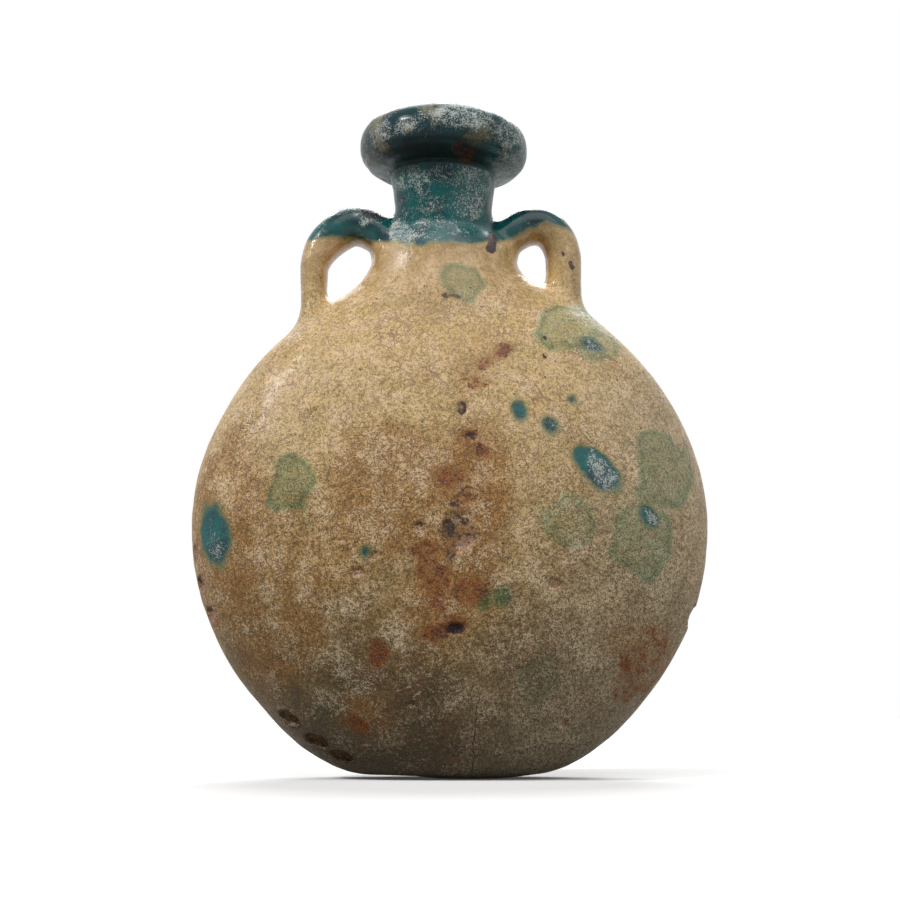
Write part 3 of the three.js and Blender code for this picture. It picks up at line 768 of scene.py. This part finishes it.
def box_cutter(low, high):
    corners = np.where(list(np.ndindex(2, 2, 2)), high, low).astype(float)
    faces = [(0, 1, 3, 2), (4, 6, 7, 5), (0, 4, 5, 1), (2, 3, 7, 6), (0, 2, 6, 4), (1, 5, 7, 3)]
    return mesh_object("cutter", corners, np.array(faces), CUT)


def field_cutter(space, low, high):
    return mesh_object("cutter", *closed_mesh(space, low, high, CUTTER_CELL), CUT)


def ring_cutter(inner, outer, bottom, top, sides=48):
    """A square-edged ring around the neck's axis."""
    points = []
    faces = []
    for i in range(sides):
        angle = 2 * math.pi * i / sides
        for radius, z in ((outer, bottom), (outer, top), (inner, top), (inner, bottom)):
            points.append((NECK_X + radius * math.cos(angle), radius * math.sin(angle), z))
        here, there = 4 * i, 4 * ((i + 1) % sides)
        for a, b in ((0, 1), (1, 2), (2, 3), (3, 0)):
            faces.append((here + a, there + a, there + b, here + b))
    return mesh_object("cutter", np.array(points), np.array(faces), CUT)


def loop_cutter(side):
    """The space that one loop fills, down to where it bites into the body and the neck."""
    margin = LOOP_MARGIN + 2
    reach = LOOPS[side]["thickness"] / 2 + margin
    depth = STRAP_HALF_DEPTH + margin
    (left, bottom), (right, top) = (end(loop_line(LOOPS[side]), axis=0) for end in (np.min, np.max))
    low = [left - reach, -depth, bottom - reach]
    high = [right + reach, depth, top + reach]

    def space(points):
        return np.maximum(loop_field(points, side) - LOOP_MARGIN, -SEAT_BITE - base_field(points))

    return field_cutter(space, low, high)


def shoulder_cutter():
    """The space above the body and close around the neck's axis."""
    reach = SLIP_REACH + 2
    low = [NECK_X - reach, -reach, UPPER_BOTTOM - 3]
    high = [NECK_X + reach, reach, UPPER_TOP + 4]

    def space(points):
        x, y, z = points.T
        side = np.hypot(x - NECK_X, y) - SLIP_REACH
        ends = np.maximum(UPPER_BOTTOM - z, z - UPPER_TOP)
        return np.maximum(np.maximum(side, ends), -SEAT_BITE - body_field(points))

    return field_cutter(space, low, high)


def lip_cutter():
    """Everything above the crease under the lip, tilted as the lip is."""
    cutter = box_cutter((-60, -60, CREASE_DROP), (60, 60, 60))
    turn = Matrix.Rotation(LIP_TILT, 4, "Y")
    cutter.data.transform(Matrix.Translation(Vector((NECK_X, 0, LIP_MIDDLE)) * MM) @ turn)
    return cutter


# Pieces


def combined(target, cutter, operation, name):
    """A new object holding the target with the cutter taken from it, or what the two share."""
    modifier = target.modifiers.new("combine", "BOOLEAN")
    modifier.object = cutter
    modifier.operation = operation
    modifier.solver = "MANIFOLD"
    bpy.context.view_layer.update()
    graph = bpy.context.evaluated_depsgraph_get()
    mesh = bpy.data.meshes.new_from_object(target.evaluated_get(graph))
    target.modifiers.clear()
    return place_in_scene(name, mesh)


def parted(whole, cutter, name):
    """The named piece inside the cutter, and the rest of the whole."""
    inside = combined(whole, cutter, "INTERSECT", name)
    rest = combined(whole, cutter, "DIFFERENCE", "rest")
    for used in (whole, cutter):
        bpy.data.objects.remove(used)
    return inside, rest


def cut_into_pieces(skin, hollow):
    """The pieces by the name of the node that each stands for."""
    whole = combined(skin, hollow, "DIFFERENCE", "whole")
    bpy.data.objects.remove(skin)
    bpy.data.objects.remove(hollow)
    pieces = {}
    pieces["left_handle"], whole = parted(whole, loop_cutter("left"), "left_loop")
    pieces["right_handle"], whole = parted(whole, loop_cutter("right"), "right_loop")
    pieces["rim_ring"], whole = parted(whole, lip_cutter(), "lip")
    upper, whole = parted(whole, shoulder_cutter(), "upper")
    ring = ring_cutter(SLIP_INNER, SLIP_REACH + 5, BORE_START, SLIP_TOP)
    pieces["neck_slip"], pieces["neck"] = parted(upper, ring, "neck_joint")
    front = box_cutter((-FAR, -FAR, -FAR), (FAR, -SEAM_HALF, FAR))
    pieces["front_shell"], whole = parted(whole, front, "front_half")
    back = box_cutter((-FAR, SEAM_HALF, -FAR), (FAR, FAR, FAR))
    pieces["back_shell"], pieces["seam_slip"] = parted(whole, back, "back_half")
    pieces["neck"].name = "neck_tube"
    pieces["seam_slip"].name = "seam_line"
    return pieces


def islands(shape):
    """The points of a mesh in groups that hang together."""
    left = set(shape.verts)
    while left:
        waiting = [left.pop()]
        group = []
        while waiting:
            vert = waiting.pop()
            group.append(vert)
            for edge in vert.link_edges:
                other = edge.other_vert(vert)
                if other in left:
                    left.remove(other)
                    waiting.append(other)
        yield group


def drop_scraps(mesh):
    """Takes away what a cut can leave: edges shorter than a hair, faces back to back, loose crumbs."""
    shape = bmesh.new()
    shape.from_mesh(mesh)
    bmesh.ops.triangulate(shape, faces=shape.faces)
    bmesh.ops.dissolve_degenerate(shape, dist=WELD, edges=shape.edges)
    bmesh.ops.triangulate(shape, faces=shape.faces)
    same = {}
    for face in shape.faces:
        same.setdefault(frozenset(vert.index for vert in face.verts), []).append(face)
    flaps = [face for faces in same.values() if len(faces) > 1 for face in faces]
    bmesh.ops.delete(shape, geom=flaps, context="FACES")
    crumbs = sorted(islands(shape), key=len)[:-1]
    bmesh.ops.delete(shape, geom=[vert for group in crumbs for vert in group], context="VERTS")
    shape.to_mesh(mesh)
    shape.free()


def nearest_normals(places, tree, skin_normals):
    """The skin's normals at places on or near it."""
    normals = np.zeros((len(places), 3))
    for i, place in enumerate(places):
        near = tree.find_n(place, 3)
        normals[i] = sum(skin_normals[index] / (distance + 1e-7) for _, index, distance in near)
    return normals / np.maximum(np.linalg.norm(normals, axis=1), 1e-6)[:, None]


def smooth_corners(mesh, places, tree, skin_normals):
    """Gives the skin and the hollow of a cut piece the normals they had before the cut."""
    outer = nearest_normals(places, tree, skin_normals)
    inner = -field_slope(hollow_field, places / MM)
    inner /= np.maximum(np.linalg.norm(inner, axis=1), 1e-6)[:, None]
    sizes = read(mesh.polygons, "loop_total", 1, np.int32)
    corners = read(mesh.loops, "vertex_index", 1, np.int32)
    finish = np.repeat(read(mesh.polygons, "material_index", 1, np.int32), sizes)[:, None]
    chosen = np.repeat(read(mesh.polygons, "normal", 3), sizes, axis=0)
    chosen = np.where(finish == SKIN, outer[corners], chosen)
    chosen = np.where(finish == HOLLOW, inner[corners], chosen)
    mesh.polygons.foreach_set("use_smooth", np.ones(len(mesh.polygons), bool))
    mesh.normals_split_custom_set(chosen.tolist())


def remember(mesh, name, values):
    """Keeps one number for each of the mesh's points, for its materials to read."""
    attribute = mesh.attributes.new(name, "FLOAT", "POINT")
    attribute.data.foreach_set("value", values.astype(np.float32))


def dress(piece, tree, skin_normals):
    """Finishes a cut piece: one closed part, smooth, with the places of its glazes and wear."""
    mesh = piece.data
    drop_scraps(mesh)
    places = read(mesh.vertices, "co", 3)
    smooth_corners(mesh, places, tree, skin_normals)
    points = places.astype(float) / MM
    remember(mesh, "depth", -skin_field(points))
    remember(mesh, "teal", teal_depth(points))
    remember(mesh, "green", green_share(points))
    # Where the painted shade under the lip lies
    remember(mesh, "under", lip_underside_shade(points))
    clay = marked(points, "clay", 0.6, 151)
    remember(mesh, "clay", np.maximum(clay, 0.8 * edge_wear(points)))
    for kind, softness, seed in MARK_EDGES:
        remember(mesh, kind, marked(points, kind, softness, seed))


# Materials


def colour(red, green, blue):
    """A colour as seen on a screen, from 0 to 255, as the linear numbers that a shader takes."""
    return tuple(((c / 255 + 0.055) / 1.055) ** 2.4 for c in (red, green, blue)) + (1,)


WHITE = (1, 1, 1, 1)
BUFF = colour(190, 160, 106)
BUFF_WORN = colour(192, 163, 122)
BUFF_TAN = colour(164, 128, 80)
OLIVE = colour(128, 102, 58)
OLIVE_WORN = colour(154, 131, 96)
# Darker towards the bottom: partly dirt, partly painted shade of the lower body
LOW_DIRT_AND_SHADE = colour(72, 61, 44)
ASH = colour(170, 153, 124)
GRAIN_PALE = colour(214, 198, 172)
GRAIN_DARK = colour(76, 60, 42)
CRAZE_BROWN = colour(116, 76, 44)
AMBER = colour(142, 99, 48)
RUST_BRIGHT = colour(150, 84, 38)
RUST_DARK = colour(46, 26, 20)
SOOT_BROWN = colour(40, 27, 24)
SOOT_PURPLE = colour(88, 68, 66)
CLAY_PALE = colour(206, 176, 148)
CLAY_BROWN = colour(150, 112, 82)
GREEN_THIN = (0.66, 0.84, 0.8, 1)
GREEN_THICK = (0.27, 0.46, 0.32, 1)
GREEN_DEEP = colour(82, 108, 72)
TEAL = colour(4, 88, 88)
TEAL_DEEP = colour(4, 50, 56)
TEAL_GREEN = colour(20, 76, 62)
LIP_SLATE = colour(30, 52, 58)
LIP_BROWN = colour(122, 112, 80)
# Painted shade: the underside of the lip, nearly black
LIP_UNDER_SHADE = colour(5, 11, 12)
FROST = colour(200, 206, 200)
FROST_VEIL = colour(112, 130, 130)


class Value:
    """What a node gives. A sign between two values adds the node that works it out."""

    def __init__(self, nodes, socket):
        self.nodes = nodes
        self.socket = socket

    def __add__(self, other):
        return self.nodes.math("ADD", self, other)

    def __sub__(self, other):
        return self.nodes.math("SUBTRACT", self, other)

    def __mul__(self, other):
        return self.nodes.math("MULTIPLY", self, other)

    __rmul__ = __mul__


class Nodes:
    """Short words for adding nodes to one material or world."""

    def __init__(self, owner):
        owner.use_nodes = True
        self.owner = owner
        self.tree = owner.node_tree

    def plug(self, sockets, values):
        """Links or sets sockets, given what goes into each by its name or number."""
        for key, value in values.items():
            if isinstance(value, Value):
                self.tree.links.new(value.socket, sockets[key])
            else:
                sockets[key].default_value = value

    def add(self, kind, values, output=0, **settings):
        """One output of a new node."""
        node = self.tree.nodes.new(kind)
        for key, value in settings.items():
            setattr(node, key, value)
        self.plug(node.inputs, values)
        return Value(self, node.outputs[output])

    def math(self, operation, *values):
        return self.add("ShaderNodeMath", dict(enumerate(values)), operation=operation)

    def split(self, vector):
        return [self.add("ShaderNodeSeparateXYZ", {0: vector}, axis) for axis in range(3)]


def ramp(value, low, high, first=0.0, last=1.0):
    """A smooth change from first to last while the value goes from low to high."""
    values = dict(enumerate((value, low, high, first, last)))
    return value.nodes.add("ShaderNodeMapRange", values, interpolation_type="SMOOTHSTEP")


def mix(share, first, second):
    """From the first colour to the second as the share goes from 0 to 1."""
    return share.nodes.add("ShaderNodeMix", {0: share, 6: first, 7: second}, 2, data_type="RGBA")


def tinted(base, tint, share=1.0):
    """The base multiplied by a tint, as far as the share says."""
    values = {0: share, 6: base, 7: tint}
    return base.nodes.add("ShaderNodeMix", values, 2, data_type="RGBA", blend_type="MULTIPLY")


def at_size(place, size):
    """What goes into a texture so that its lumps are about one size across, in millimetres."""
    return {"Vector": place, "Scale": 1 / (size * MM)}


class Paint(Nodes):
    """The same for one fired surface, where sizes are in millimetres on the object."""

    def __init__(self, name):
        super().__init__(bpy.data.materials.new(name))
        self.place = self.add("ShaderNodeTexCoord", {}, "Object")

    def noise(self, size, detail, seed=0.0):
        """Noise around 0.5 with lumps about one size across."""
        shift = (seed, 0.37 * seed, -0.61 * seed)
        place = self.add("ShaderNodeVectorMath", {0: self.place, 1: shift}, operation="ADD")
        return self.add("ShaderNodeTexNoise", {"Detail": detail, **at_size(place, size)}, "Fac")

    def cells(self, size, feature, place, output="Distance"):
        return self.add("ShaderNodeTexVoronoi", at_size(place, size), output, feature=feature)

    def kept(self, name):
        """A number that the mesh keeps for each of its points."""
        return self.add("ShaderNodeAttribute", {}, "Fac", attribute_name=name)

    def warped(self, size, reach):
        """The place, shifted by noise, so that what it carries isn't straight or even."""
        drift = self.add("ShaderNodeTexNoise", at_size(self.place, size), "Color")
        values = {0: drift, 1: (reach * MM,) * 3, 2: self.place}
        return self.add("ShaderNodeVectorMath", values, operation="MULTIPLY_ADD")

    def finish(self, base, roughness, height, specular):
        """Joins the layers to the shader. The height is in millimetres."""
        self.plug(self.tree.nodes["Principled BSDF"].inputs, {
            "Base Color": base,
            "Roughness": roughness,
            "Normal": self.add("ShaderNodeBump", {"Distance": MM, "Height": height}),
            "Specular IOR Level": specular,
        })
        return self.owner


def lay_buff(paint):
    """The buff glaze above, stained to olive below; where it has decayed it is paler. Near the bottom
    it is darker, partly dirt and partly painted shade.
    """
    wide, patch, blotch, _, _, _ = paint.noises
    paint.lowness = paint.height + 80 * wide + 30 * patch
    paint.high = ramp(paint.lowness, 80, 205)
    paint.decayed = ramp(0.6 * patch + 0.4 * blotch, 0.4, 0.64)
    sound = mix(paint.high, OLIVE, mix(ramp(patch, 0.45, 0.7), BUFF, BUFF_TAN))
    base = mix(paint.decayed, sound, mix(paint.high, OLIVE_WORN, BUFF_WORN))
    # Darker near the bottom all round, partly dirt and partly painted shade of the lower body
    base = mix(ramp(paint.lowness, 65, 125, 0.85, 0), base, LOW_DIRT_AND_SHADE)
    rightness = paint.across - 0.3 * paint.height + 60 * wide + 20 * blotch
    base = mix(ramp(rightness, 25, 85, 0, 0.6), base, ASH)
    paint.base = mix(paint.kept("orange") * ramp(paint.decayed, 0, 1, 1, 0.35), base, AMBER)


def lay_grain(paint):
    """The sandy grain of the glaze, weaker where the glaze of the shoulders is still fresh."""
    _, patch, blotch, _, _, grain = paint.noises
    paint.fresh = ramp(paint.height + 20 * blotch, 178, 200)
    paint.sandy = ramp(paint.high, 0, 1, 1, 0.6) * ramp(paint.fresh, 0, 1, 1, 0.4)
    gritty = ramp(paint.lowness - 40 * paint.kept("orange") + 50 * blotch, 130, 230, 1, 0.65)
    gritty = gritty * ramp(paint.fresh, 0, 1, 1, 0.5)
    base = tinted(paint.base, (0.8 * patch + 0.5 * blotch) * 1.1 + 0.33)
    base = tinted(base, mix(gritty, WHITE, ramp(grain, 0.39, 0.61, 0.42, 1.68)))
    pale = 0.35 * patch + 0.85 * grain
    base = mix(paint.sandy * ramp(pale, 0.63, 0.74, 0, 0.7), base, GRAIN_PALE)
    paint.base = mix(gritty * ramp(grain, 0.43, 0.34, 0, 0.6), base, GRAIN_DARK)


def lay_crazing(paint):
    """Crazing in broken patches, finer on the right, and pinholes."""
    _, _, blotch, speck, _, _ = paint.noises
    place = paint.warped(2.5, 1.6)
    fine = ramp(paint.cells(3.3, "DISTANCE_TO_EDGE", place), 0.015, 0.075, 1, 0)
    coarse = ramp(paint.cells(7, "DISTANCE_TO_EDGE", place), 0.008, 0.04, 1, 0)
    where = paint.noise(19, 1, 5.3) + 0.12 * paint.kept("orange")
    crazed = paint.math("MAXIMUM", fine * ramp(where, 0.52, 0.62), coarse * ramp(where, 0.42, 0.52))
    crazed = crazed * ramp(blotch, 0.4, 0.55) * ramp(speck, 0.35, 0.55, 0.4, 1)
    paint.crazed = crazed * ramp(paint.height, 155, 180, 1, 0.3)
    chosen = ramp(paint.split(paint.cells(5.5, "F1", paint.place, "Color"))[0], 0.42, 0.4)
    paint.pinhole = ramp(paint.cells(5.5, "F1", paint.place), 0.04, 0.08, 1, 0) * chosen
    base = mix(0.75 * paint.crazed, paint.base, CRAZE_BROWN)
    paint.base = mix(0.9 * paint.pinhole, base, SOOT_BROWN)


def lay_green(paint):
    """Thin green glaze over the buff, darker at the edge of its patches."""
    _, _, blotch, speck, _, _ = paint.noises
    green = paint.kept("green") + 1.1 * blotch + 0.9 * speck - 1
    tint = mix(ramp(green, 0.5, 1.3), GREEN_THIN, GREEN_THICK)
    share = ramp(paint.kept("green"), 0, 0.3) * ramp(green, 0.1, 0.8, 0.3, 1)
    paint.base = tinted(paint.base, tint, share)


def lay_turquoise(paint):
    """Turquoise glaze with a green halo, greyer on the lip, with painted shade nearly black under it.
    """
    wide, patch, blotch, speck, _, _ = paint.noises
    inside = paint.kept("teal") + 2.2 * blotch + 1.6 * speck - 1.9
    base = mix(ramp(inside, -1.9, -0.2, 0, 0.6), paint.base, GREEN_DEEP)
    paint.turquoise = ramp(inside, -0.8, 0.8)
    sea = mix(ramp(patch, 0.4, 0.6), TEAL, TEAL_DEEP)
    sea = mix(ramp(blotch, 0.48, 0.7, 0, 0.6), sea, TEAL_GREEN)
    lip = ramp(paint.height, 226, 231) * ramp(wide, 0.35, 0.6, 0.5, 0.95)
    brown = ramp(0.7 * patch + 0.3 * speck, 0.52, 0.6, 0, 0.85)
    sea = mix(lip, sea, mix(brown, LIP_SLATE, LIP_BROWN))
    # Painted shade: the underside of the lip darkened nearly to black
    paint.under = ramp(paint.kept("under") + 0.6 * blotch - 0.3, 0.15, 0.95)
    sea = mix(0.92 * paint.under, sea, LIP_UNDER_SHADE)
    paint.base = mix(paint.turquoise, base, sea)


def lay_frost(paint):
    """Frost, where the glaze has decayed to pale flecks."""
    _, patch, blotch, speck, dust, _ = paint.noises
    fleck = 0.6 * dust + 0.25 * speck + 0.3 * blotch + 0.25 * patch - 0.1
    fleck = fleck + 0.17 * paint.kept("frost") - 0.3 * paint.kept("gloss")
    fleck = fleck - 0.16 * paint.under + 0.07 * paint.kept("green")
    paint.frost = ramp(fleck, 0.69, 0.84, 0, 0.85)
    base = mix(paint.turquoise * ramp(fleck, 0.6, 0.78, 0, 0.25), paint.base, FROST_VEIL)
    paint.base = mix(paint.frost * ramp(paint.turquoise, 0, 1, 0.25, 1), base, FROST)


def lay_rust(paint):
    """Rust: a soft stain, with dark flecks where it is strong."""
    _, _, blotch, speck, dust, grain = paint.noises
    kept = paint.kept("rust")
    stain = ramp(kept + 2.6 * blotch + 1.4 * speck - 2, 0, 1.2, 0, 0.6)
    paint.stain = stain * ramp(kept, 0, 0.5) * ramp(grain, 0.36, 0.56, 0.5, 1)
    crust = 0.34 * kept + 0.5 * blotch + 0.8 * speck + 0.3 * dust + 0.08 * paint.crazed
    paint.rust = ramp(crust, 0.98, 1.1) * ramp(kept, 0, 0.15)
    base = mix(paint.stain, paint.base, mix(ramp(grain, 0.42, 0.58), RUST_BRIGHT, AMBER))
    paint.base = mix(0.9 * paint.rust, base, mix(ramp(dust, 0.42, 0.6), RUST_DARK, RUST_BRIGHT))


def lay_clay_and_soot(paint):
    """Bare clay where the glaze is broken, and soot over it."""
    _, _, blotch, speck, dust, grain = paint.noises
    broken = ramp(paint.kept("depth"), 1.6, 2.4, 0, 0.5)
    paint.clay = ramp(0.5 * paint.kept("clay") + broken + 0.3 * blotch + 0.6 * speck, 0.74, 0.86)
    sooty = 0.42 * paint.kept("soot") + 0.3 * blotch + 0.7 * speck + 0.4 * dust
    paint.soot = ramp(sooty, 0.93, 1.06)
    base = mix(paint.clay, paint.base, mix(ramp(grain, 0.45, 0.58), CLAY_BROWN, CLAY_PALE))
    paint.base = mix(paint.soot, base, mix(ramp(grain, 0.48, 0.6), SOOT_BROWN, SOOT_PURPLE))


def lay_crack(paint):
    """The crack that runs up from the foot on the front."""
    speck = paint.noises[3]
    off = paint.across - 0.075 * paint.height + 3 * paint.noise(4, 2, 6.1) - 8.9
    crack = ramp(paint.math("ABSOLUTE", off), 0.1, 0.3, 1, 0) * ramp(paint.height, 29, 33, 1, 0)
    paint.crack = crack * ramp(paint.front, -4, 0, 1, 0) * ramp(speck, 0.4, 0.5)
    paint.base = mix(0.85 * paint.crack, paint.base, SOOT_BROWN)


def glaze_roughness(paint, gloss):
    """Fresh glaze is smooth; decayed glaze and dirt are matt."""
    grain = paint.noises[5]
    matt = 0.16 * paint.decayed + 0.12 * ramp(grain, 0.4, 0.65) + (0.28 - gloss)
    matt = matt + ramp(paint.high, 0, 1, 0.28, 0) + 0.3 * paint.frost + 0.15 * paint.stain
    matt = matt + 0.4 * paint.clay + 0.2 * paint.soot + 0.3 * paint.under
    matt = matt - 0.3 * paint.kept("gloss") - 0.1 * paint.fresh
    return paint.math("MAXIMUM", paint.math("MINIMUM", matt, 0.95), 0.12)


def glaze_relief(paint):
    """Relief finer than the mesh, in millimetres."""
    _, patch, blotch, speck, dust, grain = paint.noises
    lift = 0.4 * patch + 0.4 * blotch + 0.2 * speck + 0.07 * dust
    lift = lift * ramp(paint.fresh, 0, 1, 1, 0.35) * ramp(paint.turquoise, 0, 1, 1, 0.55)
    lift = lift * ramp(paint.kept("gloss"), 0, 1, 1, 0.4)
    lift = lift + 0.2 * paint.sandy * grain - 0.05 * paint.crazed - 0.25 * paint.pinhole
    lift = lift + 0.05 * paint.frost - 0.1 * paint.rust - 0.3 * paint.soot * grain
    return lift + paint.clay * (0.6 * grain - 0.5) - 0.3 * paint.crack


# Layers of noise from wide to fine: size, detail, seed. A sixth, the grain, mixes the last two.
NOISES = [(30, 2), (9, 5, 1.3), (3.4, 4, 2.1), (1.3, 4, 3.7), (0.5, 2, 4.9)]
LAYERS = [
    lay_buff, lay_grain, lay_crazing, lay_green, lay_turquoise,
    lay_frost, lay_rust, lay_clay_and_soot, lay_crack,
]


def glaze(name, specular, gloss):
    """The buff glaze, its turquoise and green runs, and all that burial left on them, with painted
    shade under the lip and near the bottom.
    """
    paint = Paint(name)
    paint.across, paint.front, paint.height = (axis * (1 / MM) for axis in paint.split(paint.place))
    paint.noises = [paint.noise(*wave) for wave in NOISES]
    paint.noises.append(0.4 * paint.noises[3] + 0.6 * paint.noises[4])
    for lay in LAYERS:
        lay(paint)
    return paint.finish(paint.base, glaze_roughness(paint, gloss), glaze_relief(paint), specular)


def fired_clay():
    """The bare clay of the hollow and of the joints."""
    paint = Paint("fired_clay")
    patch = paint.noise(8, 2)
    grain = paint.noise(0.9, 2, 1.7)
    base = mix(ramp(patch, 0.35, 0.65), CLAY_BROWN, BUFF_TAN)
    base = mix(ramp(grain, 0.5, 0.7, 0, 0.5), base, GRAIN_DARK)
    return paint.finish(base, ramp(patch, 0.3, 0.7, 0.75, 0.92), 0.4 * patch + 0.15 * grain, 0.2)


# Slots of the record: the nodes that each paints, how strongly it mirrors, how much smoother it is
FINISHES = {
    "buff_glaze": (["front_shell", "back_shell"], 0.3, 0),
    "slip": (["seam_slip"], 0.3, 0),
    "turquoise_glaze": (["neck"], 0.16, 0),
    "neck_slip_glaze": (["neck_slip"], 0.36, 0.04),
    "lip_glaze": (["rim_ring"], 0.13, 0),
    "loop_glaze": (["left_handle", "right_handle"], 0.28, 0.1),
}


def build_flask():
    points, faces, normals = skin_mesh()
    tree = KDTree(len(points))
    for index, place in enumerate(points * MM):
        tree.insert(place, index)
    tree.balance()
    pieces = cut_into_pieces(mesh_object("skin", points, faces, SKIN), hollow_mesh())
    clay = fired_clay()
    for slot, (nodes, specular, gloss) in FINISHES.items():
        material = glaze(slot, specular, gloss)
        for node in nodes:
            piece = pieces[node]
            dress(piece, tree, normals)
            piece.data.materials[SKIN] = material
            piece.data.materials[HOLLOW] = clay
            piece.data.materials[CUT] = clay
            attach(piece, "root")
            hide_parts(node)
    for holder in HOLDERS:
        bpy.data.materials.remove(holder)


# Floor, light and camera

FLOOR_HALF = 3
CAMERA_PLACE = (0, -0.6, 0.025)
CAMERA_TILT = math.radians(9)
LENS = 65.2
SENSOR = 36

# Each lamp's level, then its height, turn and softness in degrees
LAMPS = {
    "key": (0.42, 52, 4, 50),
    "fill": (0.3, 15, 55, 70),
    "spark": (0.56, 38, -62, 8),
    "behind": (0.85, 50, 178, 45),
}

# How bright the surroundings are, and the floor as seen, as it glows and as it lights the flask
AMBIENT = 0.07
FLOOR_SEEN = 0.86
FLOOR_GLOW = 0.05
FLOOR_BOUNCE = 0.1
FLOOR_ROUGHNESS = 0.9


def background_rays(nodes):
    """1 for rays that show the background: seen straight, by reflection or through glass."""
    names = ("Is Camera Ray", "Is Glossy Ray", "Is Transmission Ray")
    seen, glossy, through = (nodes.add("ShaderNodeLightPath", {}, name) for name in names)
    return nodes.math("MAXIMUM", nodes.math("MAXIMUM", seen, glossy), through)


def floor():
    corners = [(x * FLOOR_HALF, y * FLOOR_HALF, 0) for x, y in ((-1, -1), (1, -1), (1, 1), (-1, 1))]
    mesh = bpy.data.meshes.new("floor")
    mesh.from_pydata(corners, [], [(0, 1, 2, 3)])
    nodes = Nodes(bpy.data.materials.new("pale_floor"))
    seen = background_rays(nodes)
    shade = ramp(seen, 0, 1, FLOOR_BOUNCE, FLOOR_SEEN)
    nodes.plug(nodes.tree.nodes["Principled BSDF"].inputs, {
        "Base Color": nodes.add("ShaderNodeCombineColor", {0: shade, 1: shade, 2: shade}),
        "Emission Strength": FLOOR_GLOW * seen,
        "Emission Color": WHITE,
        "Roughness": FLOOR_ROUGHNESS,
        "Specular IOR Level": 0,
    })
    mesh.materials.append(nodes.owner)
    place_in_scene("floor", mesh)


def sun(name, level, *angles):
    """A distant soft light. At a level of 1 it shows a white surface that faces it as white."""
    height, turn, softness = (math.radians(angle) for angle in angles)
    data = bpy.data.lights.new(name, "SUN")
    data.energy = level * math.pi
    data.angle = softness
    lamp = place_in_scene(name, data)
    lamp.rotation_euler = (math.pi / 2 - height, 0, turn)


def world():
    made = bpy.data.worlds.new("studio")
    nodes = Nodes(made)
    level = ramp(background_rays(nodes), 0, 1, AMBIENT, 1)
    nodes.plug(nodes.tree.nodes["Background"].inputs, {"Color": WHITE, "Strength": level})
    bpy.context.scene.world = made


def camera():
    data = bpy.data.cameras.new("camera")
    data.lens = LENS
    data.sensor_width = SENSOR
    made = place_in_scene("camera", data)
    made.location = CAMERA_PLACE
    made.rotation_euler = (math.pi / 2 + CAMERA_TILT, 0, 0)
    bpy.context.scene.camera = made


build_flask()
floor()
for name, settings in LAMPS.items():
    sun(name, *settings)
world()
camera()
bpy.context.scene.view_settings.view_transform = "Standard"
